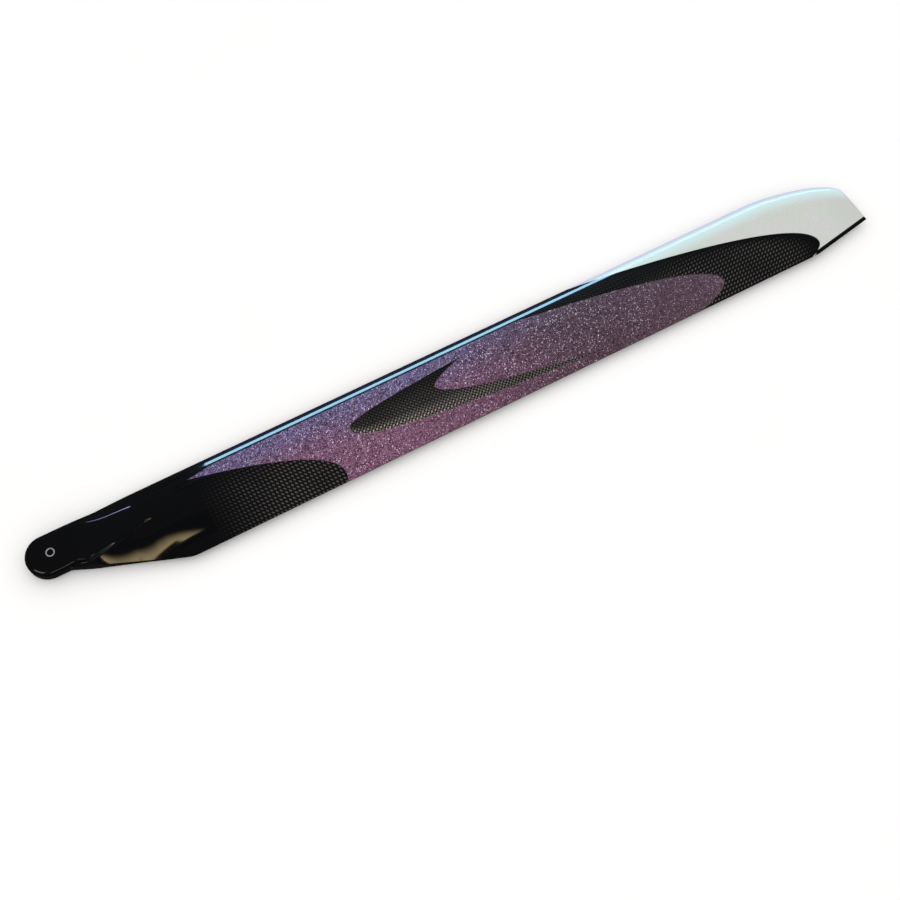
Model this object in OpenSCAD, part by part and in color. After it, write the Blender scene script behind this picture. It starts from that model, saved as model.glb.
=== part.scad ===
// One main rotor blade for a model helicopter, lying flat as it is bolted on.
// The origin is the centre of the bolt hole at half thickness.
// X runs out along the span, Y toward the leading edge, Z up along the bolt.

/* [Blade] */
// Centre of the bolt hole to the tip, mm
span = 600; // [450:1:750]
// Leading edge to trailing edge, mm
chord = 57; // [44:0.5:72]
// Leading edge ahead of the bolt hole, mm
nose_reach = 15; // [11:0.5:20]
// Thickness of the section as a percentage of its chord
section_thickness = 12.5; // [9:0.5:16]
// Thickness of the trailing edge, mm
edge_thickness = 0.9; // [0.6:0.1:1.6]

/* [Root] */
// Width of the root plate, mm
root_width = 27.4; // [22:0.2:29]
// Thickness of the root plate, mm
root_thickness = 12; // [9:0.5:15]
// Rounding along the edges of the root plate, mm
root_round = 3.5; // [2:0.1:4]
// Bolt hole to the centre of the round end of the root, mm
end_offset = 3; // [0:0.1:6]
// Bolt hole to where the root plate starts to narrow, mm
pad_length = 17; // [12:1:24]
// Bolt hole to where the trailing edge is at its full chord, mm
shoulder_reach = 78; // [62:1:94]
// Bolt hole to where the root has faded into the section, mm
fade_length = 88; // [70:1:110]

/* [Tip] */
// Length of the curve where the leading edge sweeps back, mm
tip_length = 70; // [56:1:90]
// Length of the square edge that closes the tip, mm
tip_edge = 26; // [18:1:34]
// Lean of that edge along the span, mm
tip_lean = 1.7; // [0:0.1:4]
// Length of the straight cut at the back of the tip, mm
cut_length = 46.5; // [36:0.5:55]
// Depth of that cut at the tip, mm
cut_depth = 8; // [4:0.5:12]

/* [Bushing] */
// Bore for the mounting bolt, mm
bolt_hole = 4; // [3:0.1:5]
// Wall of the metal bushing, mm
bushing_wall = 1; // [0.6:0.1:1.6]
// Chamfer at the mouths of the bushing, mm
bushing_chamfer = 0.25; // [0.1:0.05:0.4]
// Glue line between bushing and blade, mm
glue_line = 0.03; // [0.02:0.01:0.1]

/* [Hidden] */
$fn = 72;
half_width = root_width / 2;
half_root = root_thickness / 2;
half_edge = edge_thickness / 2;
back = chord - nose_reach;
seat_radius = bolt_hole / 2 + bushing_wall + glue_line;
// Where the plain root plate ends and the loft begins
plate = seat_radius + 2;
fade = max(fade_length, shoulder_reach + 8);
sweep_start = span - tip_length;
cut_start = max(span - cut_length, sweep_start + 2);
tip_back = back - cut_depth;
// Where the ridge lines of the root end, across the chord
ridge_front = 0.4 * nose_reach;
ridge_back = -0.43 * nose_reach;

// A ramp from 0 at a to 1 at b that starts and ends level.
function ramp(a, b, x) =
    let (t = max(0, min(1, (x - a) / (b - a))))
    t * t * (3 - 2 * t);

// The smaller of two lengths, with the corner between them rounded over k.
function soft_min(a, b, k) =
    let (h = max(k - abs(a - b), 0) / k)
    min(a, b) - h * h * k / 4;

// How far the outline stands behind the bolt hole: the root, a slanted edge, the shoulder, the cut at the tip.
function back_line(x) =
    let (slope = (back - half_width + 0.3) / (shoulder_reach - plate))
    let (slant = half_width - 0.3 + slope * (x - plate))
    let (root = -soft_min(-half_width, -slant, 0.3))
    x > cut_start
        ? back - cut_depth * (x - cut_start) / (span - cut_start)
        : x > shoulder_reach + 7 ? back : soft_min(root, back, 1.8);

// How far the outline stands ahead of the bolt hole: the root, the straight edge, the swept tip.
function front_line(x) =
    let (s = max(0, min(1, (x - sweep_start) / tip_length)))
    let (corner = tip_edge - tip_back)
    x > sweep_start
        ? corner + (nose_reach - corner) * sqrt(max(0, 1 - pow(s, 1.45)))
        : half_width + (nose_reach - half_width) * ramp(plate + 1, 60, x);

// Half thickness of the symmetric section at a fraction u of the chord, with full thickness t.
function section_height(u, t) =
    5 * t * (0.2969 * sqrt(u) - 0.126 * u - 0.3516 * u * u + 0.2843 * pow(u, 3) - 0.1036 * pow(u, 4))
    + half_edge * u;

// Half thickness of the full section where the slanted edge of the root cuts it off.
function cut_height(x) =
    section_height((front_line(x) + back_line(x)) / (front_line(x) + back), chord * section_thickness / 100);

// Full thickness at a station, rounded off over the last few millimetres of the tip.
function full_thickness(x) =
    let (r = max(0, (x - span + 4) / 4))
    let (c = front_line(x) + back_line(x))
    (x > sweep_start ? c : chord) * section_thickness / 100 * max(0.15, sqrt(max(0, 1 - r * r)));

// The ridge lines of the root: height of the flat, its two edges, and the foot of the step behind it.
function flat_height(x) =
    half_root - (half_root - chord * section_thickness / 200) * ramp(pad_length + 3, fade - 20, x);
function flat_back(x) =
    let (corner = pad_length + 4)
    let (pad = root_round - half_width)
    let (wide = -half_width - 1.2)
    x < corner
        ? pad + (wide - pad) * ramp(max(pad_length - 8, plate), corner, x)
        : wide + (ridge_back - wide) * min(1, (x - corner) / (fade - 28 - corner));
function flat_front(x) =
    (half_width - root_round) + (ridge_front - half_width + root_round) * ramp(max(pad_length - 5, plate), pad_length + 23, x);
function foot_line(x) = flat_back(x) - root_round - (1.9 - root_round) * ramp(plate, pad_length + 4, x);
function foot_height(x) =
    let (drop = 1.7 - 1.3 * ramp(pad_length + 8, fade - 22, x))
    flat_height(x) - root_round - (drop - root_round) * ramp(plate, pad_length + 4, x);
function rim_height(x) =
    max(half_edge, min(cut_height(x) + 1.3 * (1 - ramp(plate, shoulder_reach - 30, x)), foot_height(x) - 0.4));
function nose_wall(x) = max(0.2, (half_root - root_round) * (1 - ramp(plate + 2, pad_length + 18, x)));

// Points from the trailing edge to the leading edge, as counts of steps along each stretch.
rim_steps = 2;
back_steps = 6;
step_steps = 5;
flat_steps = 4;
nose_steps = 10;
half_steps = rim_steps + back_steps + step_steps + flat_steps + nose_steps;

// One upper half of a root station: rim, back, step up, flat, round over, front wall.
function root_half(x) =
    let (b = -back_line(x))
    let (rim = rim_height(x))
    let (foot = foot_line(x))
    let (foot_z = foot_height(x))
    let (crest = flat_back(x))
    let (brow = flat_front(x))
    let (top = flat_height(x))
    let (front = front_line(x))
    let (wall = nose_wall(x))
    let (ease = ramp(plate + 1, pad_length + 3, x))
    concat(
        [for (i = [0 : rim_steps - 1]) [b, half_edge + (rim - half_edge) * i / rim_steps]],
        [for (i = [0 : back_steps - 1])
            let (t = i / back_steps)
            [b + (foot - b) * t, rim + (foot_z - rim) * t]],
        [for (i = [0 : step_steps - 1])
            let (t = i / step_steps)
            let (y = (1 - ease) * (1 - cos(90 * t)) + ease * t)
            let (z = (1 - ease) * sin(90 * t) + ease * t * t * (3 - 2 * t))
            [foot + (crest - foot) * y, foot_z + (top - foot_z) * z]],
        [for (i = [0 : flat_steps - 1]) [crest + (brow - crest) * i / flat_steps, top]],
        [for (i = [0 : 5])
            [brow + (front - brow) * sin(18 * i), wall + (top - wall) * cos(18 * i)]],
        [for (i = [1 : nose_steps - 5]) [front, wall * (1 - i / (nose_steps - 5))]]
    );

// One upper half of a plain blade station, spaced like the root's so that the two can be blended.
function wing_half(x) =
    let (b = -back_line(x))
    let (front = front_line(x))
    let (c = x > sweep_start ? front - b : front + back)
    let (t = full_thickness(x))
    let (cut = x > sweep_start ? half_edge : cut_height(x))
    let (blunt = min(1, (cut - half_edge) / 0.6))
    let (lip = 1.2 * (1 - blunt))
    let (inner = x > sweep_start ? c / chord : 1)
    let (foot = max(x > sweep_start ? front - inner * (nose_reach + 12) : foot_line(min(x, fade)), b + 1.6))
    let (crest = x > sweep_start ? front - inner * (nose_reach - ridge_back) : flat_back(min(x, fade)))
    let (brow = x > sweep_start ? front - inner * (nose_reach - ridge_front) : flat_front(min(x, fade)))
    let (rim = [for (i = [0 : rim_steps - 1])
        let (y = b + lip * i / rim_steps)
        let (wall = half_edge + (cut - half_edge) * i / rim_steps)
        [y, blunt * wall + (1 - blunt) * section_height((front - y) / c, t)]])
    let (ys = concat(
        [for (i = [0 : back_steps - 1]) b + lip + (foot - b - lip) * i / back_steps],
        [for (i = [0 : step_steps - 1]) foot + (crest - foot) * i / step_steps],
        [for (i = [0 : flat_steps - 1]) crest + (brow - crest) * i / flat_steps],
        [for (i = [0 : nose_steps]) brow + (front - brow) * sin(90 * i / nose_steps)]
    ))
    concat(rim, [for (y = ys) [y, section_height(max(0, (front - y) / c), t)]]);

// The blended half station in space.
function station(x) =
    let (w = ramp(pad_length + 2, fade, x))
    let (wing = wing_half(x))
    let (root = w < 1 ? root_half(x) : wing)
    let (lean = tip_lean * ramp(sweep_start, span, x) / tip_edge)
    [for (i = [0 : half_steps])
        let (p = root[i] * (1 - w) + wing[i] * w)
        [x - lean * (p[0] + tip_back), p[0], i == half_steps ? 0 : p[1]]];

// A whole ring: upper side from back to front, then the under side as its mirror image.
function ring(x) =
    let (up = station(x))
    concat(up, [for (i = [half_steps - 1 : -1 : 0]) [up[i][0], up[i][1], -up[i][2]]]);

root_count = 44;
sweep_count = 7;
cut_count = 13;
stations = concat(
    [for (i = [0 : root_count]) plate + (fade - plate) * i / root_count],
    [for (i = [0 : sweep_count - 1]) sweep_start + (cut_start - sweep_start) * i / sweep_count],
    [for (i = [0 : cut_count]) cut_start + (span - cut_start) * (1 - pow(1 - i / cut_count, 1.8))]
);
ring_size = 2 * half_steps + 1;

// The skin lofted through every station, closed at the root and at the tip.
module loft() {
    n = len(stations);
    rings = [for (x = stations) each ring(x)];
    last = (n - 1) * ring_size;
    heart = len(rings);
    points = concat(rings, [[plate, 0, 0], [span, tip_edge / 2 - tip_back, 0]]);
    skin = [for (i = [0 : n - 2], j = [0 : ring_size - 1], half = [0, 1])
        let (k = (j + 1) % ring_size)
        let (a = i * ring_size)
        let (b = a + ring_size)
        half == 0 ? [a + j, b + k, b + j] : [a + j, a + k, b + k]];
    root_cap = [for (j = [0 : ring_size - 1]) [heart, (j + 1) % ring_size, j]];
    tip_cap = [for (j = [0 : ring_size - 1]) [heart + 1, last + j, last + (j + 1) % ring_size]];
    polyhedron(points = points, faces = concat(skin, root_cap, tip_cap), convexity = 6);
}

// The root plate with its round end, rounded along its edges like the first station of the loft.
module root_plate() {
    rounding = [for (i = [0 : 5])
        [half_width - root_round + root_round * cos(18 * i), half_root - root_round + root_round * sin(18 * i)]];
    side = concat(rounding, [[0, half_root]]);
    outline = concat([for (i = [len(side) - 1 : -1 : 0]) [side[i][0], -side[i][1]]], side);
    translate([-end_offset, 0, 0]) {
        rotate([0, 0, 90])
            rotate_extrude(angle = 180)
                polygon(outline);
        rotate([90, 0, 90])
            linear_extrude(height = plate + end_offset)
                polygon(concat(outline, [for (i = [len(outline) - 1 : -1 : 0]) [-outline[i][0], outline[i][1]]]));
    }
}

module blade() {
    color([0.42, 0.32, 0.47])
        union() {
            loft();
            difference() {
                root_plate();
                cylinder(r = seat_radius, h = 2 * root_thickness, center = true);
            }
        }
}

module root_bushing() {
    r = bolt_hole / 2;
    c = bushing_chamfer;
    color([0.72, 0.73, 0.75])
        rotate_extrude()
            polygon([
                [r + c, -half_root],
                [r + bushing_wall - c, -half_root],
                [r + bushing_wall, -half_root + c],
                [r + bushing_wall, half_root - c],
                [r + bushing_wall - c, half_root],
                [r + c, half_root],
                [r, half_root - c],
                [r, -half_root + c]
            ]);
}

blade();
root_bushing();
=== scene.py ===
"""The looks of one model helicopter rotor blade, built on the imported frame."""
import math
from types import SimpleNamespace

import bmesh
import bpy
from mathutils import Matrix, Vector


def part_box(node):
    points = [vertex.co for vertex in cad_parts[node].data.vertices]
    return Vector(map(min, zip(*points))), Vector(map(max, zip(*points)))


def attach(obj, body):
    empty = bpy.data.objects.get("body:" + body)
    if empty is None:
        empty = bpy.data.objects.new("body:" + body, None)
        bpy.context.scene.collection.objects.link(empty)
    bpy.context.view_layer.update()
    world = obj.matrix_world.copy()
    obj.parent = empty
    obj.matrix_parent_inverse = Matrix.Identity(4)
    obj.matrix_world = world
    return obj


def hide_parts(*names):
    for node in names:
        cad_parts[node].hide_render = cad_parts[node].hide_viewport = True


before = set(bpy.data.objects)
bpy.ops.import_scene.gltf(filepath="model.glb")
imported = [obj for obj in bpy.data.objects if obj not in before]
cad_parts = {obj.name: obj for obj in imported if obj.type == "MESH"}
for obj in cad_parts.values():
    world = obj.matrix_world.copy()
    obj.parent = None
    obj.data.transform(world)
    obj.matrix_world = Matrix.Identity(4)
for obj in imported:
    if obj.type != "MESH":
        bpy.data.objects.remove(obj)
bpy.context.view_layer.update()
scene = bpy.context.scene
MM = 0.001
QUARTER = math.pi / 2

# Sizes of the blade in millimetres, from the boxes of the blade and its bushing
blade_low, blade_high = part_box("blade")
bushing_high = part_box("root_bushing")[1]
GLUE_LINE = 0.03
SPAN, NOSE_REACH, HALF_ROOT = (round(v / MM, 2) for v in blade_high)
BACK = round(-blade_low.y / MM, 2)
CHORD = NOSE_REACH + BACK
SEAT_RADIUS = round(bushing_high.x / MM, 2) + GLUE_LINE

# The plain section's thickness in per cent of the chord, and half its trailing edge
SECTION_PERCENT, HALF_EDGE = 12.5, 0.45

# The root plate, its shoulder and where it fades into the section
HALF_WIDTH, ROOT_ROUND, END_OFFSET = 13.7, 3.5, 3.0
PAD_LENGTH, SHOULDER_REACH, FADE_LENGTH = 17.0, 78.0, 88.0
PLATE = SEAT_RADIUS + 2
PAD_CORNER = PAD_LENGTH + 4
PLATE_SOFT, SHOULDER_SOFT = 0.3, 1.8

# Where along the span the lines of the root start and stop
FRONT_FROM, FRONT_TO = PLATE + 1, 60.0
TOP_FROM, CREST_FROM, STEP_FROM = PAD_LENGTH + 3, PAD_LENGTH - 8, PAD_LENGTH + 8
BROW_FROM, BROW_TO = PAD_LENGTH - 5, PAD_LENGTH + 23
WALL_FROM, WALL_TO = PLATE + 2, PAD_LENGTH + 18
EASE_FROM, EASE_TO = PLATE + 1, PAD_LENGTH + 3
BLEND_FROM = PAD_LENGTH + 2

# How far short of the fade the top, the crest and the step settle, and the rim short of the shoulder
TOP_SHORT, CREST_SHORT, STEP_SHORT, RIM_SHORT = 20.0, 28.0, 22.0, 30.0

# The ridge lines, the step and the rim of the root
RIDGE_FRONT, RIDGE_BACK = 0.4 * NOSE_REACH, -0.43 * NOSE_REACH
CREST_OVERHANG = 1.2
STEP_RUN, STEP_DROP, STEP_EASE = 1.9, 1.7, 1.3
RIM_LIFT, RIM_BELOW_FOOT = 1.3, 0.4
LEAST_WALL = 0.2

# The trailing edge of the plain section
LIP, BLUNT_OVER = 1.2, 0.6
FOOT_REACH, LEAST_FOOT = 12.0, 1.6

# The swept tip and the cut behind it
TIP_LENGTH, TIP_EDGE, TIP_LEAN, TIP_POWER = 70.0, 26.0, 1.7, 1.45
TIP_ROUND, LEAST_TIP = 4.0, 0.15
CUT_LENGTH, CUT_DEPTH = 46.5, 8.0
SWEEP_START, CUT_START = SPAN - TIP_LENGTH, SPAN - CUT_LENGTH
TIP_CORNER = TIP_EDGE - (BACK - CUT_DEPTH)

# Rows of stations along the span, which crowd toward the tip
ROOT_ROWS, SPAN_ROWS, TIP_ROWS = 84, 11, 76
TIP_CROWD = 1.7

# Steps along the stretches of a station, from the trailing edge to the leading edge
RIM, REAR, STEP, FLAT, ARC, WALL = 3, 9, 8, 12, 8, 12
HALF = RIM + REAR + STEP + FLAT + ARC + WALL

# Facets of the round end and of the bolt hole
END_TURNS, HOLE_SIDES = 72, 64

# Distances in metres within which points are one, and the angle past which an edge is sharp
WELD_SKIN, WELD_PLATE = 1e-6, 2e-6
SHARP_ANGLE = math.radians(32)

# The last millimetres of the span, where the open rim of the tip lies
TIP_RIM_ZONE = 10.0

# The sizes that the loft takes as inputs: name, label, value
LOFT_INPUTS = (
    ("span", "Span", SPAN),
    ("chord", "Chord", CHORD),
    ("percent", "Thickness percent", SECTION_PERCENT),
    ("half_width", "Root half width", HALF_WIDTH),
    ("half_root", "Root half height", HALF_ROOT),
    ("fade", "Fade length", FADE_LENGTH),
    ("shoulder", "Shoulder", SHOULDER_REACH),
    ("lean", "Tip lean", TIP_LEAN),
)

# Colours of the finish
BLACK = (0.0025, 0.0025, 0.0029)
# painted highlight colours of the cloth's strands: their glint, and the brighter painted sheen
STRAND_GLINT, SHEEN_HIGHLIGHT = (0.102, 0.095, 0.086), (0.5, 0.43, 0.38)
FLAKE_WARM, FLAKE_COOL, FLAKE_OUTER = (0.232, 0.1, 0.16), (0.142, 0.1, 0.188), (0.098, 0.055, 0.073)
# the painted glint colour of the brightest flakes
FLAKE_GLINT = (0.95, 0.66, 0.7)
PEARL_GREEN, PEARL_GREY, PEARL_GRAIN = (0.5, 0.545, 0.495), (0.535, 0.535, 0.535), (0.57, 0.59, 0.575)
# the mint is a painted highlight colour along the pearl's leading edge
PEARL_END, PEARL_MINT_HIGHLIGHT, PEARL_LILAC = (0.5, 0.52, 0.5), (0.56, 0.73, 0.75), (0.55, 0.6, 0.8)
NOSE_BLUE = (0.008, 0.012, 0.03)
SILVER, BAND_SILVER, BAND_PINK = (0.62, 0.62, 0.64), (0.6, 0.6, 0.62), (0.5, 0.25, 0.38)

# Colours of the bushing, and the radii between which painted shade darkens its bore
WORN_METAL, BRIGHT_METAL, BORE_SHADE = (0.34, 0.345, 0.36), (0.48, 0.49, 0.51), (0.03, 0.03, 0.033)
BORE_SHADE_EDGE = (2.03, 2.2)

# The bushing's metal share, its turning rings in radians to the millimetre, and the roughness they vary
BUSHING_METAL = 0.5
RING_PITCH, RING_ROUGH, RING_VARIES = 40.0, 0.26, 0.06

# Round borders across the blade: x and y of the nose, then the bend ahead of it and behind it
PURPLE_START, PURPLE_END = (188.0, -36.0, 0.053, 0.053), (482.0, -29.5, 0.1, 0.155)
PEARL_START = (559.3, -34.0, 0.075, 0.16)
CLOTH_START = (183.0, -36.0, 0.055, 0.055)
BAND_START, BAND_END = (511.4, -29.2, 0.1, 0.17), (528.7, -30.3, 0.092, 0.35)

# Long drops: x and y of the nose, then size and power of the edge ahead and of the edge behind
HOLLOW, HOLLOW_CORE = (203.0, -10.5, 1.735, 0.44, 3.29, 0.4), (266.4, -9.6, 1.676, 0.597, 1.86, 0.562)
SILVER_DROP, SILVER_CORE = (181.5, -11.5, 1.7, 0.44, 3.0, 0.41), (228.3, -10.2, 1.95, 0.43, 2.1, 0.49)
CLOTH_CORE = (255.6, -9.4, 1.9, 0.5, 2.0, 0.52)

# Stretches of the span over which a look changes
# over the next three lines the cloth's painted strand highlights rise and fall, lie on both sets of strands,
# and swap sets
CLOTH_RISES, CLOTH_FALLS = (92.0, 150.0), (440.0, 520.0)
EVEN_FROM, EVEN_TO = (195.0, 206.0), (400.0, 440.0)
STRANDS_SWAP = (400.0, 470.0)
# where the painted sheen on the strands fades
PAINTED_SHEEN_FALLS = (245.0, 320.0)
FLAKE_DARKENS, FLAKE_CALMS = (220.0, 400.0), (330.0, 470.0)
PEARL_DULLS = (565.0, 600.0)
FRONT_BENDS, NOSE_RISES = (88.0, 118.0), (95.0, 130.0)
STRIP_RISES = (549.0, 553.0)

# Stretches of the chord over which a look changes
FRONT_EDGE = (8.2, 8.8)
# where the cloth's painted strand highlights dim toward the leading edge and brighten toward the trailing
# edge
CLOTH_DIMS, EVEN_LIFTS = (-17.0, 0.0), (-9.0, -20.0)
FLAKE_COOLS = (-24.0, 12.0)
SILVER_TURNS, BAND_TURNS, BAND_STOPS = (-14.0, -26.0), (-26.0, -38.0), (-4.0, -2.0)

# Distances over which the cloth sinks before the pearl, the pearl turns to its painted mint highlight and to
# lilac at the edge, and the strip ends
PEARL_NEARS = (2.0, 26.0)
MINT_HIGHLIGHT_EDGE, LILAC_EDGE = (16.0, 4.5), (3.6, 1.2)
STRIP_EDGE = (2.3, 2.7)

# The cloth's pitch in millimetres, and the turn of its strands
WEAVE_PITCH, DIAGONAL = 1.9, 0.7071

# Scales of the patterns, in cells to the metre
FLAKE_SCALE, DRIFT_SCALE, PATCH_SCALE = 1500.0, 14.0, 35.0
CAST_SCALE, PEARL_SCALE, COAT_SCALE, WEAR_SCALE = 45.0, 900.0, 60.0, 400.0

# The flakes' tilt, metal share and drift, the paint's roughness and shine, and the clear coat over them
FLAKE_TILT, FLAKE_METAL, FLAKE_DRIFT = 0.55, 0.45, 24.0
PAINT_ROUGH, PAINT_VARIES, PAINT_SHINE = 0.42, 0.12, 0.02
COAT_ROUGH, COAT_LOST = 0.03, 0.75

# The glow on the warm card in millimetres: its far edge, its near edge with a step, and its two ends
GLOW_COLOUR, GLOW_STRENGTH = (1.0, 0.76, 0.4, 1.0), 5.6
FAR_REACH, FAR_SLOPE, FAR_START, FAR_SOFT = 272.0, 0.854, -10.0, (-6.0, 52.0)
NEAR_REACH, NEAR_STEP, NEAR_STEPS, NEAR_SOFT = 193.0, 24.0, (26.0, 40.0), (0.0, 8.0)
GLOW_RISES, GLOW_FALLS = (-8.0, 4.0), (78.0, 95.0)


class Field:
    """A value in a node tree that takes part in plain arithmetic."""

    def __init__(self, tree, socket):
        self.tree = tree
        self.socket = socket

    def fill(self, slots, values):
        for slot, value in zip(slots, values):
            if isinstance(value, Field):
                self.tree.links.new(value.socket, slot)
            else:
                slot.default_value = float(value)

    def math(self, op, *values):
        node = self.tree.nodes.new("ShaderNodeMath")
        node.operation = op
        self.fill(node.inputs, values)
        return Field(self.tree, node.outputs[0])

    def __add__(self, other):
        return self.math("ADD", self, other)

    __radd__ = __add__

    def __sub__(self, other):
        return self.math("SUBTRACT", self, other)

    def __rsub__(self, other):
        return self.math("SUBTRACT", other, self)

    def __mul__(self, other):
        return self.math("MULTIPLY", self, other)

    __rmul__ = __mul__

    def __truediv__(self, other):
        return self.math("DIVIDE", self, other)

    def __neg__(self):
        return self * -1.0

    def __pow__(self, other):
        return self.math("POWER", self, other)

    def above(self, other):
        return self.math("GREATER_THAN", self, other)

    def least(self, other):
        return self.math("MINIMUM", self, other)

    def most(self, other):
        return self.math("MAXIMUM", self, other)

    def floor(self):
        return self.math("FLOOR", self)

    def fract(self):
        return self.math("FRACT", self)

    def wrap(self, n):
        return self.math("FLOORED_MODULO", self, n)

    def sin(self):
        return self.math("SINE", self)

    def cos(self):
        return self.math("COSINE", self)

    def root(self):
        return self.math("SQRT", self.most(0.0))

    def size(self):
        return self.math("ABSOLUTE", self)

    def unit(self):
        """Held between 0 and 1."""
        return self.most(0.0).least(1.0)

    def ramp(self, a, b):
        """0 at a and 1 at b, level at both ends."""
        node = self.tree.nodes.new("ShaderNodeMapRange")
        node.interpolation_type = "SMOOTHSTEP"
        self.fill(node.inputs[:5], (self, a, b, 0.0, 1.0))
        return Field(self.tree, node.outputs[0])

    def over(self, low, high):
        """low where this is 0, high where it is 1."""
        return low + (high - low) * self


def soft_min(a, b, k):
    """The smaller of two lengths, with the corner between them rounded over k."""
    h = (k - (a - b).size()).most(0.0) / k
    return a.least(b) - h * h * (k / 4)


# The skin from the root plate to the tip
def loft_inputs(tree):
    """The group's input node, its material socket's identifier, and its sizes as fields."""
    face = tree.interface
    for _, label, value in LOFT_INPUTS:
        socket = face.new_socket(label, in_out="INPUT", socket_type="NodeSocketFloat")
        socket.default_value = value
    material = face.new_socket("Material", in_out="INPUT", socket_type="NodeSocketMaterial")
    face.new_socket("Geometry", in_out="OUTPUT", socket_type="NodeSocketGeometry")
    group_in = tree.nodes.new("NodeGroupInput")
    size = SimpleNamespace(**{name: Field(tree, group_in.outputs[label]) for name, label, _ in LOFT_INPUTS})
    size.back = size.chord - NOSE_REACH
    size.tip_back = size.back - CUT_DEPTH
    size.sweep = size.span - TIP_LENGTH
    size.cut = size.span - CUT_LENGTH
    return group_in, material.identifier, size


def section(u, thickness):
    """Half thickness of the symmetric section at a fraction u of the chord."""
    return (5.0 * thickness * (0.2969 * u.root() - 0.126 * u - 0.3516 * u * u + 0.2843 * u * u * u
                               - 0.1036 * u * u * u * u) + HALF_EDGE * u)


def outline(x, size):
    """The blade's reach behind and ahead of the bolt hole, 1 on the swept tip, and the rear edge's height."""
    edge = SimpleNamespace()
    slope = (size.back - size.half_width + PLATE_SOFT) / (size.shoulder - PLATE)
    slant = size.half_width - PLATE_SOFT + slope * (x - PLATE)
    root = -soft_min(-size.half_width, -slant, PLATE_SOFT)
    edge.behind = soft_min(root, size.back, SHOULDER_SOFT) - CUT_DEPTH * ((x - size.cut) / CUT_LENGTH).unit()
    edge.rear = -edge.behind
    straight = size.half_width + (NOSE_REACH - size.half_width) * x.ramp(FRONT_FROM, FRONT_TO)
    corner = TIP_EDGE - size.tip_back
    s = ((x - size.sweep) / TIP_LENGTH).unit()
    curved = corner + (NOSE_REACH - corner) * (1.0 - s ** TIP_POWER).root()
    edge.swept = x.above(size.sweep)
    edge.ahead = edge.swept.over(straight, curved)
    share = ((edge.ahead + edge.behind) / (edge.ahead + size.back)).unit()
    edge.cut_z = edge.swept.over(section(share, size.chord * size.percent / 100.0), HALF_EDGE)
    return edge


def ridge_lines(x, size, edge):
    """The root's flat and its two edges, the foot of the step behind it, the rim and the front wall."""
    line = SimpleNamespace()
    section_top = size.chord * size.percent / 200.0
    line.top = size.half_root - (size.half_root - section_top) * x.ramp(TOP_FROM, size.fade - TOP_SHORT)
    pad, wide = ROOT_ROUND - size.half_width, -size.half_width - CREST_OVERHANG
    widening = pad + (wide - pad) * x.ramp(CREST_FROM, PAD_CORNER)
    inward = ((x - PAD_CORNER) / (size.fade - CREST_SHORT - PAD_CORNER)).unit()
    line.crest = x.above(PAD_CORNER).over(widening, wide + (RIDGE_BACK - wide) * inward)
    narrowing = x.ramp(BROW_FROM, BROW_TO)
    line.brow = size.half_width - ROOT_ROUND + (RIDGE_FRONT - size.half_width + ROOT_ROUND) * narrowing
    out = x.ramp(PLATE, PAD_CORNER)
    line.foot = line.crest - ROOT_ROUND - (STEP_RUN - ROOT_ROUND) * out
    drop = STEP_DROP - STEP_EASE * x.ramp(STEP_FROM, size.fade - STEP_SHORT)
    line.foot_z = line.top - ROOT_ROUND - (drop - ROOT_ROUND) * out
    lifted = edge.cut_z + RIM_LIFT * (1.0 - x.ramp(PLATE, size.shoulder - RIM_SHORT))
    line.rim_z = lifted.least(line.foot_z - RIM_BELOW_FOOT).most(HALF_EDGE)
    line.wall = ((size.half_root - ROOT_ROUND) * (1.0 - x.ramp(WALL_FROM, WALL_TO))).most(LEAST_WALL)
    return line


def stretches(k):
    """How far point k of a half station is along each stretch, from 0 to 1."""
    t = SimpleNamespace()
    names, counts = ("rim", "rear", "step", "flat", "arc", "wall"), (RIM, REAR, STEP, FLAT, ARC, WALL)
    first = 0
    for name, count in zip(names, counts):
        setattr(t, name, ((k - first) / count).unit())
        first += count
    t.nose = ((k - (HALF - ARC - WALL)) / (ARC + WALL)).unit()
    return t


def root_station(x, t, edge, line):
    """A point of a root station: rim, rear, step up, flat, round over, front wall."""
    ease = x.ramp(EASE_FROM, EASE_TO)
    step_y = ease.over(1.0 - (t.step * QUARTER).cos(), t.step)
    step_z = ease.over((t.step * QUARTER).sin(), t.step * t.step * (3.0 - 2.0 * t.step))
    y = (edge.rear + (line.foot - edge.rear) * t.rear + (line.crest - line.foot) * step_y
         + (line.brow - line.crest) * t.flat + (edge.ahead - line.brow) * (t.arc * QUARTER).sin())
    z = (HALF_EDGE + (line.rim_z - HALF_EDGE) * t.rim + (line.foot_z - line.rim_z) * t.rear
         + (line.top - line.foot_z) * step_z - (line.top - line.wall) * (1.0 - (t.arc * QUARTER).cos())
         - line.wall * t.wall)
    return y, z


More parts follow.
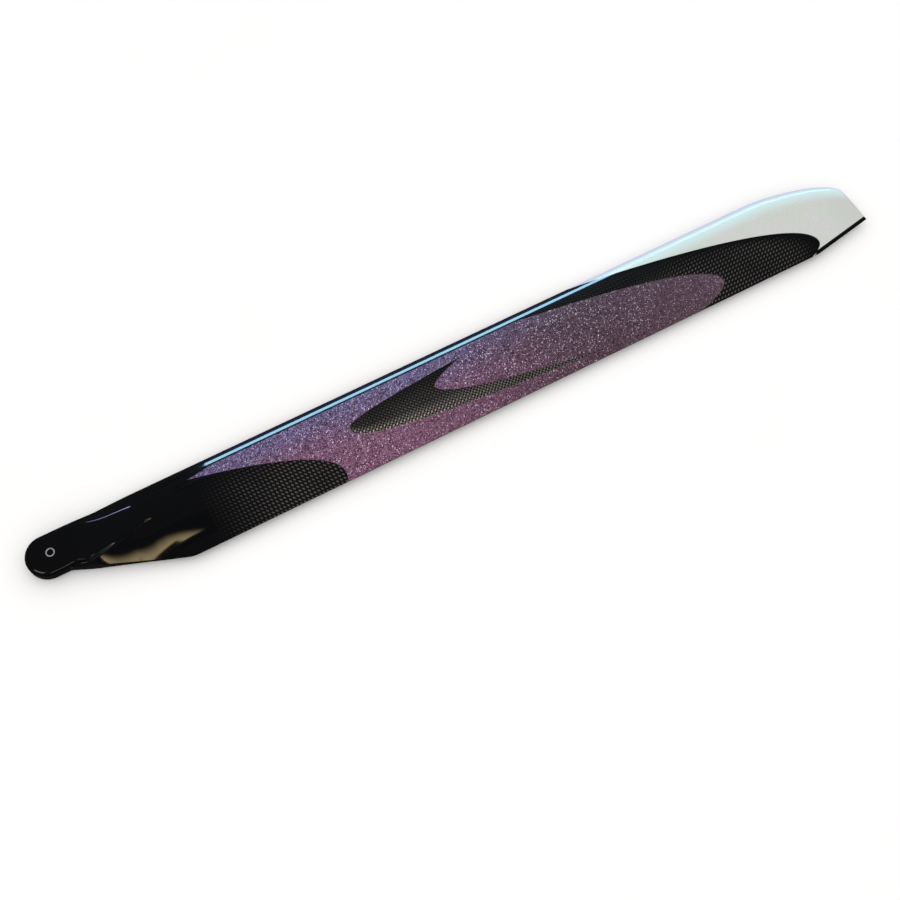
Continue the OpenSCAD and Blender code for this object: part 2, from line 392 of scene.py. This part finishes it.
def wing_station(x, k, t, size, edge, line):
    """A point of a plain station of the section, spaced as the root's so that the two blend."""
    rear, ahead, swept = edge.rear, edge.ahead, edge.swept
    c = ahead + swept.over(size.back, edge.behind)
    narrow = c / size.chord
    foot = swept.over(line.foot, ahead - narrow * (NOSE_REACH + FOOT_REACH)).most(rear + LEAST_FOOT)
    crest = swept.over(line.crest, ahead - narrow * (NOSE_REACH - RIDGE_BACK))
    brow = swept.over(line.brow, ahead - narrow * (NOSE_REACH - RIDGE_FRONT))
    blunt = ((edge.cut_z - HALF_EDGE) / BLUNT_OVER).unit()
    lip = LIP * (1.0 - blunt)
    y = (rear + lip * t.rim + (foot - rear - lip) * t.rear + (crest - foot) * t.step
         + (brow - crest) * t.flat + (ahead - brow) * (t.nose * QUARTER).sin())
    r = ((x - size.span + TIP_ROUND) / TIP_ROUND).unit()
    full = swept.over(size.chord, c) * size.percent / 100.0 * (1.0 - r * r).root().most(LEAST_TIP)
    z = section(((ahead - y) / c).unit(), full)
    on_rim = 1.0 - k.above(RIM - 0.5)
    return y, z + on_rim * blunt * (HALF_EDGE + (edge.cut_z - HALF_EDGE) * t.rim - z)


def skin_tree():
    """The node tree that lofts the skin, and the identifier of its material input."""
    tree = bpy.data.node_groups.new("blade_loft", "GeometryNodeTree")
    group_in, material, size = loft_inputs(tree)
    add, link = tree.nodes.new, tree.links.new

    # a grid of stations by points, with the under side as the mirror image of the upper one
    rows, columns = ROOT_ROWS + SPAN_ROWS + TIP_ROWS + 1, 2 * HALF + 2
    grid = add("GeometryNodeMeshGrid")
    grid.inputs["Vertices X"].default_value = rows
    grid.inputs["Vertices Y"].default_value = columns
    index = Field(tree, add("GeometryNodeInputIndex").outputs[0])
    row = (index / columns).floor()
    column = index - row * columns
    under = column.above(HALF + 0.5) * (1.0 - column.above(2 * HALF + 0.5))
    k = (HALF - (column - HALF).size()).most(0.0)
    near_end = 1.0 - (1.0 - ((row - (ROOT_ROWS + SPAN_ROWS)) / TIP_ROWS).unit()) ** TIP_CROWD
    x = (PLATE + (size.fade - PLATE) * (row / ROOT_ROWS).unit()
         + (size.sweep - size.fade) * ((row - ROOT_ROWS) / SPAN_ROWS).unit() + TIP_LENGTH * near_end)

    # the two kinds of station and their blend
    edge = outline(x, size)
    line = ridge_lines(x, size, edge)
    t = stretches(k)
    root_y, root_z = root_station(x, t, edge, line)
    wing_y, wing_z = wing_station(x, k, t, size, edge, line)
    w = x.ramp(BLEND_FROM, size.fade)
    y = w.over(root_y, wing_y)
    z = w.over(root_z, wing_z) * (1.0 - 2.0 * under)
    x_out = x - size.lean * x.ramp(size.sweep, size.span) / TIP_EDGE * (y + size.tip_back)

    # the mesh
    place = add("ShaderNodeCombineXYZ")
    for field, slot in zip((x_out, y, z), place.inputs):
        link((field * MM).socket, slot)
    move = add("GeometryNodeSetPosition")
    link(grid.outputs["Mesh"], move.inputs["Geometry"])
    link(place.outputs[0], move.inputs["Position"])
    weld = add("GeometryNodeMergeByDistance")
    weld.inputs["Distance"].default_value = WELD_SKIN
    link(move.outputs[0], weld.inputs["Geometry"])
    flip = add("GeometryNodeFlipFaces")
    link(weld.outputs[0], flip.inputs[0])
    real = add("GeometryNodeRealizeInstances")
    link(flip.outputs[0], real.inputs[0])
    paint = add("GeometryNodeSetMaterial")
    link(real.outputs[0], paint.inputs["Geometry"])
    link(group_in.outputs["Material"], paint.inputs["Material"])
    link(paint.outputs[0], add("NodeGroupOutput").inputs["Geometry"])
    return tree, material


def evaluated(name, tree, values):
    """The plain mesh that a node tree makes, on an object at the origin."""
    host = bpy.data.objects.new(name, bpy.data.meshes.new(name + "_host"))
    scene.collection.objects.link(host)
    mod = host.modifiers.new("nodes", "NODES")
    mod.node_group = tree
    for key, value in values.items():
        mod[key] = value
    bpy.context.view_layer.update()
    mesh = bpy.data.meshes.new_from_object(host.evaluated_get(bpy.context.evaluated_depsgraph_get()))
    host.modifiers.remove(mod)
    host.data = mesh
    mesh.name = name
    return host


# The root plate
def plate_profile():
    """The edge of the first station, as radius and height, from the top flat to the under flat."""
    flat, wall = HALF_WIDTH - ROOT_ROUND, HALF_ROOT - ROOT_ROUND
    arc = [QUARTER * i / ARC for i in range(ARC + 1)]
    upper = [(flat + ROOT_ROUND * math.sin(a), wall + ROOT_ROUND * math.cos(a)) for a in arc]
    upper += [(HALF_WIDTH, wall * (1 - i / WALL)) for i in range(1, WALL + 1)]
    return upper + [(r, -z) for r, z in reversed(upper[:-1])]


def plate_rings(bm, profile):
    """The profile swept from the loft round the end of the root and back to the loft."""
    path = [(PLATE, 90.0), (PLATE / 2, 90.0)]
    path += [(-END_OFFSET, 90.0 + 180.0 * i / END_TURNS) for i in range(END_TURNS + 1)]
    path += [(PLATE / 2, 270.0), (PLATE, 270.0)]
    rings = []
    for shift, angle in path:
        cosine, sine = math.cos(math.radians(angle)), math.sin(math.radians(angle))
        rings.append([bm.verts.new(((shift + r * cosine) * MM, r * sine * MM, z * MM)) for r, z in profile])
    for one, two in zip(rings, rings[1:]):
        for i in range(len(profile) - 1):
            bm.faces.new((one[i], two[i], two[i + 1], one[i + 1]))
    return rings


def hole_ring(bm, z):
    """The edge of the bolt hole at one height."""
    radius = SEAT_RADIUS * MM
    angles = [2 * math.pi * i / HOLE_SIDES for i in range(HOLE_SIDES)]
    return [bm.verts.new((radius * math.cos(a), radius * math.sin(a), z * MM)) for a in angles]


def add_root_plate(bm):
    """The root plate round the bolt hole: its swept edge, its two flats and the wall of the hole."""
    rings = plate_rings(bm, plate_profile())
    holes = []
    for end, z in ((0, HALF_ROOT), (-1, -HALF_ROOT)):
        seam = [(HALF_WIDTH - ROOT_ROUND) * (1 - 2 * i / FLAT) * -MM for i in range(1, FLAT)]
        loop = [ring[end] for ring in rings] + [bm.verts.new((PLATE * MM, y, z * MM)) for y in seam]
        hole = hole_ring(bm, z)
        pairs = [pair for ring in (loop, hole) for pair in zip(ring, ring[1:] + ring[:1])]
        edges = [bm.edges.get(pair) or bm.edges.new(pair) for pair in pairs]
        outward = Vector((0, 0, 1 if z > 0 else -1))
        bmesh.ops.triangle_fill(bm, use_beauty=True, edges=edges, normal=outward)
        holes.append(hole)
    top, bottom = holes
    for i in range(HOLE_SIDES):
        j = (i + 1) % HOLE_SIDES
        bm.faces.new((top[i], top[j], bottom[j], bottom[i]))


# Helpers for materials
def new_material(name):
    """A material with one principled shader, its node tree and that shader."""
    mat = bpy.data.materials.new(name)
    mat.use_nodes = True
    tree = mat.node_tree
    tree.nodes.clear()
    out = tree.nodes.new("ShaderNodeOutputMaterial")
    bsdf = tree.nodes.new("ShaderNodeBsdfPrincipled")
    tree.links.new(bsdf.outputs[0], out.inputs["Surface"])
    return mat, tree, bsdf


def position(tree):
    """Object coordinates in millimetres as three fields, and the vector in metres."""
    coord = tree.nodes.new("ShaderNodeTexCoord")
    split = tree.nodes.new("ShaderNodeSeparateXYZ")
    tree.links.new(coord.outputs["Object"], split.inputs[0])
    return [Field(tree, axis) * (1 / MM) for axis in split.outputs] + [coord.outputs["Object"]]


def tint(tree, factor, low, high):
    """A colour that goes from low to high: each is a colour or another result of tint."""
    node = tree.nodes.new("ShaderNodeMix")
    node.data_type = "RGBA"
    tree.links.new(factor.socket, node.inputs[0])
    for slot, value in ((node.inputs[6], low), (node.inputs[7], high)):
        if isinstance(value, tuple):
            slot.default_value = (*value, 1.0)
        else:
            tree.links.new(value, slot)
    return node.outputs[2]


def vector_math(tree, op, first, second=None, scale=None):
    """The result of one sum on vectors."""
    node = tree.nodes.new("ShaderNodeVectorMath")
    node.operation = op
    tree.links.new(first, node.inputs[0])
    if isinstance(second, tuple):
        node.inputs[1].default_value = second
    elif second is not None:
        tree.links.new(second, node.inputs[1])
    if scale is not None:
        tree.links.new(scale.socket, node.inputs["Scale"])
    return node.outputs[0]


def noise(tree, vector, scale, detail=3.0):
    """A cloudy pattern between 0 and 1."""
    node = tree.nodes.new("ShaderNodeTexNoise")
    node.inputs["Scale"].default_value = scale
    node.inputs["Detail"].default_value = detail
    tree.links.new(vector, node.inputs["Vector"])
    return Field(tree, node.outputs[0])


def teardrop(x, y, nose_x, nose_y, up, up_power, down, down_power, soft=0.35):
    """1 inside a long drop that opens along the span from its nose."""
    d = (x - nose_x).most(0.001)
    above = nose_y + up * d ** up_power - y
    below = y - (nose_y - down * d ** down_power)
    return above.ramp(-soft, soft) * below.ramp(-soft, soft) * x.above(nose_x)


def outboard(x, y, nose_x, nose_y, up, down, soft=0.5):
    """1 outboard of a parabola whose nose points to the tip."""
    d = y - nose_y
    bend = d.above(0.0).over(down, up)
    return (x - (nose_x - bend * d * d)).ramp(-soft, soft)


# The blade's finish
def woven_cloth(tree, x, y, upper, vector):
    """Plain cloth laid at 45 degrees: black with a painted highlight along the crown of each strand, brighter
    on one set of strands than on the other.
    """
    one, two = (x + y) * (DIAGONAL / WEAVE_PITCH), (x - y) * (DIAGONAL / WEAVE_PITCH)
    turn = (one.floor() + two.floor()).wrap(2.0)
    lit = x.ramp(*STRANDS_SWAP).over(turn, 1.0 - turn)
    side = turn.over(two.fract(), one.fract())
    length = turn.over(one.fract(), two.fract())
    across = 1.0 - (2.0 * side - 1.0) ** 2.0
    # a painted highlight along the middle of each strand
    crown_glint = across ** 4.0 * (1.0 - 0.4 * (2.0 * length - 1.0) ** 2.0)

    # the painted strand highlights come out of the black of the root, dim toward the leading edge, and sink
    # into the black again before the pearl
    pearl_x, pearl_y, pearl_bend = PEARL_START[:3]
    before_pearl = pearl_x - pearl_bend * (y - pearl_y) * (y - pearl_y) - x
    shown = x.ramp(*CLOTH_RISES) * before_pearl.ramp(*PEARL_NEARS) * (1.0 - 0.75 * y.ramp(*CLOTH_DIMS))
    shown = shown * (1.0 - 0.2 * x.ramp(*CLOTH_FALLS))
    both = x.ramp(*EVEN_FROM) * (1.0 - x.ramp(*EVEN_TO))
    even = 0.5 + 0.35 * lit + 0.4 * lit * y.ramp(*EVEN_LIFTS)
    patchy = 0.35 + 1.1 * noise(tree, vector, PATCH_SCALE)
    # how bright each strand's painted highlight is
    strand_glint = both.over(0.06 + 0.94 * lit, even) * crown_glint * patchy
    cloth = tint(tree, (strand_glint * shown).unit(), BLACK, STRAND_GLINT)

    # painted sheen: the other strands carry a painted highlight along the lower edge of the hollow drop
    nose_x, nose_y, _, _, down, power = HOLLOW
    along = (x - nose_x).most(0.001)
    rim_gap = y - nose_y + down * along ** power
    painted_sheen = both * upper * rim_gap.ramp(5.0 + 0.1 * along, 0.5) * (1.0 - 0.7 * x.ramp(*PAINTED_SHEEN_FALLS))
    return tint(tree, (painted_sheen * crown_glint ** 1.5 * (1.0 - 0.85 * lit)).unit(), cloth, SHEEN_HIGHLIGHT)


def metal_flake(tree, x, y, vector):
    """The flake's colour with painted glints on a few bright flakes, and a colour by chance for each flake.
    """
    cells = tree.nodes.new("ShaderNodeTexVoronoi")
    cells.inputs["Scale"].default_value = FLAKE_SCALE
    tree.links.new(vector, cells.inputs["Vector"])
    pick = tree.nodes.new("ShaderNodeSeparateColor")
    tree.links.new(cells.outputs["Color"], pick.inputs[0])
    chance, second = (Field(tree, pick.outputs[i]) for i in range(2))
    spot = 1.0 - Field(tree, cells.outputs["Distance"]).ramp(0.25, 0.5)
    drift = noise(tree, vector, DRIFT_SCALE, 2.0) - 0.5
    cool = (y + FLAKE_DRIFT * drift).ramp(*FLAKE_COOLS)
    base = tint(tree, cool, FLAKE_WARM, FLAKE_COOL)
    base = tint(tree, x.ramp(*FLAKE_DARKENS), base, FLAKE_OUTER)
    calm = x.ramp(*FLAKE_CALMS)
    dapple = calm.over(0.86, 0.97) * (1.0 + calm.over(1.25, 0.8) * (chance - 0.5))
    grain = vector_math(tree, "SCALE", base, scale=dapple)
    # painted glints: a few flakes are painted bright pink-white, as if catching the light
    glint_spots = second.ramp(0.83, 0.95) * spot * (1.0 - 0.4 * calm)
    return tint(tree, glint_spots, grain, FLAKE_GLINT), cells.outputs["Color"]


def pearl_paint(tree, x, y, vector):
    """Pearl that turns to a painted mint highlight and then to lilac toward the leading edge of the tip."""
    s = ((x - SWEEP_START) / TIP_LENGTH).unit()
    lead = (NOSE_REACH - TIP_CORNER) * (1.0 - s ** TIP_POWER).root() + TIP_CORNER - y
    cast = tint(tree, noise(tree, vector, CAST_SCALE, 1.0).ramp(0.35, 0.65), PEARL_GREEN, PEARL_GREY)
    pearl = tint(tree, noise(tree, vector, PEARL_SCALE, 1.0).ramp(0.4, 0.8), cast, PEARL_GRAIN)
    pearl = tint(tree, x.ramp(*PEARL_DULLS), pearl, PEARL_END)
    # painted highlight: a mint band along the leading edge, where light glances off the pearl
    pearl = tint(tree, lead.ramp(*MINT_HIGHLIGHT_EDGE), pearl, PEARL_MINT_HIGHLIGHT)
    return tint(tree, lead.ramp(*LILAC_EDGE), pearl, PEARL_LILAC)


def flake_face(tree, x, y, cloth, flake):
    """The upper face inboard of the pearl, and 1 where it is flake."""
    front = y + 3.0 * (1.0 - x.ramp(*FRONT_BENDS))
    nose = front.ramp(*FRONT_EDGE)
    purple = outboard(x, y, *PURPLE_START) * (1.0 - outboard(x, y, *PURPLE_END)) * (1.0 - nose)
    hollow = teardrop(x, y, *HOLLOW) * (1.0 - teardrop(x, y, *HOLLOW_CORE))
    purple = purple * (1.0 - hollow)
    face = tint(tree, purple, cloth, flake)
    return tint(tree, nose * x.ramp(*NOSE_RISES), face, NOSE_BLUE), purple


def cloth_face(tree, x, y, cloth, flake):
    """The under face inboard of the pearl, and how much of it is flake."""
    face = tint(tree, outboard(x, y, *CLOTH_START), BLACK, cloth)
    core = teardrop(x, y, *SILVER_CORE)
    crescent = teardrop(x, y, *SILVER_DROP) * (1.0 - core)
    to_flake = y.ramp(*SILVER_TURNS)
    face = tint(tree, core * (1.0 - teardrop(x, y, *CLOTH_CORE)), face, BLACK)
    face = tint(tree, crescent, face, tint(tree, to_flake, SILVER, flake))
    beyond = outboard(x, y, *BAND_START)
    face = tint(tree, beyond, face, BLACK)
    band = beyond * (1.0 - outboard(x, y, *BAND_END)) * (1.0 - y.ramp(*BAND_STOPS))
    face = tint(tree, band, face, tint(tree, y.ramp(*BAND_TURNS), BAND_SILVER, BAND_PINK))
    return face, crescent * to_flake


def livery():
    """The whole finish of the blade under one clear coat."""
    mat, tree, bsdf = new_material("blade_finish")
    x, y, z, vector = position(tree)
    upper = z.above(0.0)
    cloth = woven_cloth(tree, x, y, upper, vector)
    flake, by_chance = metal_flake(tree, x, y, vector)
    top_face, purple = flake_face(tree, x, y, cloth, flake)
    low_face, low_flake = cloth_face(tree, x, y, cloth, flake)

    # pearl at the tip, and the black strip along the cut behind it
    pearl_field = outboard(x, y, *PEARL_START)
    from_cut = y + BACK - CUT_DEPTH * ((x - CUT_START) / CUT_LENGTH)
    strip = (1.0 - from_cut.ramp(*STRIP_EDGE)) * x.ramp(*STRIP_RISES)
    colour = tint(tree, upper, low_face, top_face)
    colour = tint(tree, pearl_field, colour, pearl_paint(tree, x, y, vector))
    colour = tint(tree, strip, colour, BLACK)
    tree.links.new(colour, bsdf.inputs["Base Color"])

    # flakes lie at small angles to the surface
    shine = upper.over(low_flake, purple) * (1.0 - pearl_field)
    normal = tree.nodes.new("ShaderNodeNewGeometry").outputs["Normal"]
    tilt = vector_math(tree, "SUBTRACT", by_chance, (0.5, 0.5, 0.5))
    tilt = vector_math(tree, "SCALE", tilt, scale=shine * FLAKE_TILT)
    normal = vector_math(tree, "NORMALIZE", vector_math(tree, "ADD", normal, tilt))
    tree.links.new(normal, bsdf.inputs["Normal"])
    tree.links.new((shine * FLAKE_METAL).socket, bsdf.inputs["Metallic"])

    # clear coat
    rough = PAINT_ROUGH + PAINT_VARIES * noise(tree, vector, COAT_SCALE)
    tree.links.new(rough.socket, bsdf.inputs["Roughness"])
    tree.links.new((1.0 - COAT_LOST * pearl_field).socket, bsdf.inputs["Coat Weight"])
    bsdf.inputs["Coat Roughness"].default_value = COAT_ROUGH
    bsdf.inputs["Specular IOR Level"].default_value = PAINT_SHINE
    return mat


def turned_metal():
    """Bright metal with fine turning rings and painted shade darkening its bore."""
    mat, tree, bsdf = new_material("bushing_metal")
    x, y, _, vector = position(tree)
    radius = (x * x + y * y).root()
    worn = noise(tree, vector, WEAR_SCALE).ramp(0.3, 0.7)
    tone = tint(tree, worn, WORN_METAL, BRIGHT_METAL)
    # painted shade: the bore is painted dark inside these radii
    tone = tint(tree, radius.ramp(*BORE_SHADE_EDGE), BORE_SHADE, tone)
    tree.links.new(tone, bsdf.inputs["Base Color"])
    bsdf.inputs["Metallic"].default_value = BUSHING_METAL
    rings = (radius * RING_PITCH).sin()
    tree.links.new((RING_ROUGH + RING_VARIES * rings).socket, bsdf.inputs["Roughness"])
    return mat


# Materials of the studio
def matt_material(name, grain, dark, pale, roughness, specular):
    """A matt surface whose tone drifts a little."""
    mat, tree, bsdf = new_material(name)
    tone = tint(tree, noise(tree, position(tree)[3], grain), (dark,) * 3, (pale,) * 3)
    tree.links.new(tone, bsdf.inputs["Base Color"])
    bsdf.inputs["Roughness"].default_value = roughness
    bsdf.inputs["Specular IOR Level"].default_value = specular
    return mat


def card_material():
    """A warm glow in the shape of a wedge."""
    mat, tree, bsdf = new_material("warm_card")
    x, y = position(tree)[:2]
    far_edge = FAR_REACH - FAR_SLOPE * (x - FAR_START)
    near_edge = NEAR_REACH - NEAR_STEP * x.ramp(*NEAR_STEPS)
    wedge = (far_edge - y).ramp(*FAR_SOFT) * (y - near_edge).ramp(*NEAR_SOFT)
    glow = wedge * x.ramp(*GLOW_RISES) * (1.0 - x.ramp(*GLOW_FALLS))
    bsdf.inputs["Base Color"].default_value = (0.0, 0.0, 0.0, 1.0)
    bsdf.inputs["Emission Color"].default_value = GLOW_COLOUR
    tree.links.new((glow * GLOW_STRENGTH).socket, bsdf.inputs["Emission Strength"])
    return mat


# The blade
finish = livery()
loft, material_input = skin_tree()
blade = evaluated("blade_skin", loft, {material_input: finish})
bm = bmesh.new()
bm.from_mesh(blade.data)
tip_zone = (SPAN - TIP_RIM_ZONE) * MM
tip_rim = [e for e in bm.edges if e.is_boundary and min(v.co.x for v in e.verts) > tip_zone]
bmesh.ops.triangle_fill(bm, use_beauty=True, edges=tip_rim)
add_root_plate(bm)
bmesh.ops.remove_doubles(bm, verts=bm.verts, dist=WELD_PLATE)
bmesh.ops.recalc_face_normals(bm, faces=bm.faces)
bm.to_mesh(blade.data)
bm.free()
blade.data.materials.clear()
blade.data.materials.append(finish)
blade.data.polygons.foreach_set("material_index", [0] * len(blade.data.polygons))
blade.data.shade_smooth()
blade.data.set_sharp_from_angle(angle=SHARP_ANGLE)
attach(blade, "root")
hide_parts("blade")

# The bushing
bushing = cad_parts["root_bushing"]
bushing.data.materials.clear()
bushing.data.materials.append(turned_metal())


# Floor, card and flags, in metres
FLOOR_GAP, CARD_HEIGHT, FLAG_HEIGHT = 0.0001, 1.3, 0.3
FLOOR_HEIGHT = -HALF_ROOT * MM - FLOOR_GAP
FLOOR_QUADS = ((-6.0, 6.0, -6.0, 6.0),)
CARD_QUADS = ((-0.03, 0.11, 0.3, 0.13),)
FLAG_QUADS = ((0.083, 0.16, 0.15, 0.21), (0.0, 0.1, 0.28, 0.45))


def level_quads(name, quads, height, material):
    """Level rectangles at one height: each goes from one x to another and from one y to another."""
    points = [(u, v, height) for x0, x1, y0, y1 in quads for u, v in ((x0, y0), (x1, y0), (x1, y1), (x0, y1))]
    mesh = bpy.data.meshes.new(name)
    mesh.from_pydata(points, [], [tuple(range(i, i + 4)) for i in range(0, len(points), 4)])
    mesh.materials.append(material)
    obj = bpy.data.objects.new(name, mesh)
    scene.collection.objects.link(obj)
    return obj


floor_paper = matt_material("floor_paper", grain=4.0, dark=0.86, pale=0.9, roughness=0.9, specular=0.1)
flag_felt = matt_material("flag_felt", grain=300.0, dark=0.002, pale=0.006, roughness=1.0, specular=0.0)
floor = level_quads("floor", FLOOR_QUADS, FLOOR_HEIGHT, floor_paper)
floor.visible_glossy = False
card = level_quads("warm_card", CARD_QUADS, CARD_HEIGHT, card_material())
card.visible_camera = card.visible_diffuse = card.visible_shadow = False
flags = level_quads("flags", FLAG_QUADS, FLAG_HEIGHT, flag_felt)
flags.visible_camera = flags.visible_diffuse = flags.visible_shadow = False

# A backdrop as pale as the floor, which lights the blade only faintly
BACKDROP, FAINT = 1.0, 0.03
world = bpy.data.worlds.new("studio")
scene.world = world
world.use_nodes = True
world_nodes, world_links = world.node_tree.nodes, world.node_tree.links
background = world_nodes["Background"]
background.inputs["Color"].default_value = (0.98, 0.98, 0.98, 1.0)
seen = world_nodes.new("ShaderNodeLightPath")
level = world_nodes.new("ShaderNodeMapRange")
level.inputs["To Min"].default_value = FAINT
level.inputs["To Max"].default_value = BACKDROP
world_links.new(seen.outputs["Is Camera Ray"], level.inputs["Value"])
world_links.new(level.outputs["Result"], background.inputs["Strength"])

# Soft light from above
OVERHEAD_ENERGY, OVERHEAD_SPREAD = 3.55, math.radians(150)
overhead = bpy.data.lights.new("overhead", "SUN")
overhead.energy = OVERHEAD_ENERGY
overhead.angle = OVERHEAD_SPREAD
overhead.color = (1.0, 0.99, 0.98)
ceiling = bpy.data.objects.new("overhead", overhead)
scene.collection.objects.link(ceiling)
ceiling.visible_glossy = ceiling.visible_camera = False

# Light boxes that the clear coat mirrors: name, place, aim, width, height, power, colour
MIDDLE = (0.29, -0.01, 0.0)
LIGHT_BOXES = (
    ("window", (0.965, 0.985, 0.806), (0.965, -0.01, 0.0), 1.66, 0.214, 20.1, (0.42, 0.79, 1.0)),
    ("lilac_strip", (0.135, 0.655, 1.12), (0.04, 0.0, 0.0), 0.08, 0.035, 0.125, (0.6, 0.52, 1.0)),
    ("left_bank", (-1.0, -0.4, 1.15), MIDDLE, 0.9, 0.5, 3.8, (1.0, 0.98, 0.95)),
    ("right_bank", (1.6, -0.5, 1.15), MIDDLE, 0.9, 0.5, 3.8, (1.0, 0.98, 0.95)),
    ("front_strip", (0.3, -1.8, 0.9), MIDDLE, 1.8, 0.16, 3.2, (1.0, 0.97, 0.92)),
)


def light_box(name, place, aim, width, height, power, colour):
    """A rectangular light that shows only in reflections."""
    light = bpy.data.lights.new(name, "AREA")
    light.shape = "RECTANGLE"
    light.size, light.size_y = width, height
    light.energy = power
    light.color = colour
    obj = bpy.data.objects.new(name, light)
    scene.collection.objects.link(obj)
    obj.location = place
    obj.rotation_euler = (Vector(aim) - Vector(place)).to_track_quat("-Z", "Y").to_euler()
    obj.visible_camera = obj.visible_diffuse = False


for box in LIGHT_BOXES:
    light_box(*box)

# The camera, aimed at a point at the height of the floor
ELEVATION, ROLL, TURN = math.radians(67.567), math.radians(-2.749), math.radians(30.664)
AIM, AWAY = Vector((0.25598, -0.0509, -0.006)), 0.845
FOCAL_PIXELS, IMAGE_PIXELS, SENSOR = 1283.94, 900.0, 36.0
along, rise = math.cos(ELEVATION), math.sin(ELEVATION)
across, aside = math.cos(TURN), math.sin(TURN)
forward = Vector((aside * along, across * along, -rise))
level_right = Vector((across, -aside, 0))
level_down = Vector((-aside * rise, -across * rise, -along))
right = math.cos(ROLL) * level_right + math.sin(ROLL) * level_down
down = math.cos(ROLL) * level_down - math.sin(ROLL) * level_right
lens = bpy.data.cameras.new("camera")
lens.sensor_width = SENSOR
lens.lens = FOCAL_PIXELS / IMAGE_PIXELS * SENSOR
lens.dof.use_dof = False
camera = bpy.data.objects.new("camera", lens)
scene.collection.objects.link(camera)
facing = Matrix((right, -down, -forward)).transposed().to_4x4()
camera.matrix_world = Matrix.Translation(AIM - forward * AWAY) @ facing
scene.camera = camera
scene.view_settings.view_transform = "Standard"
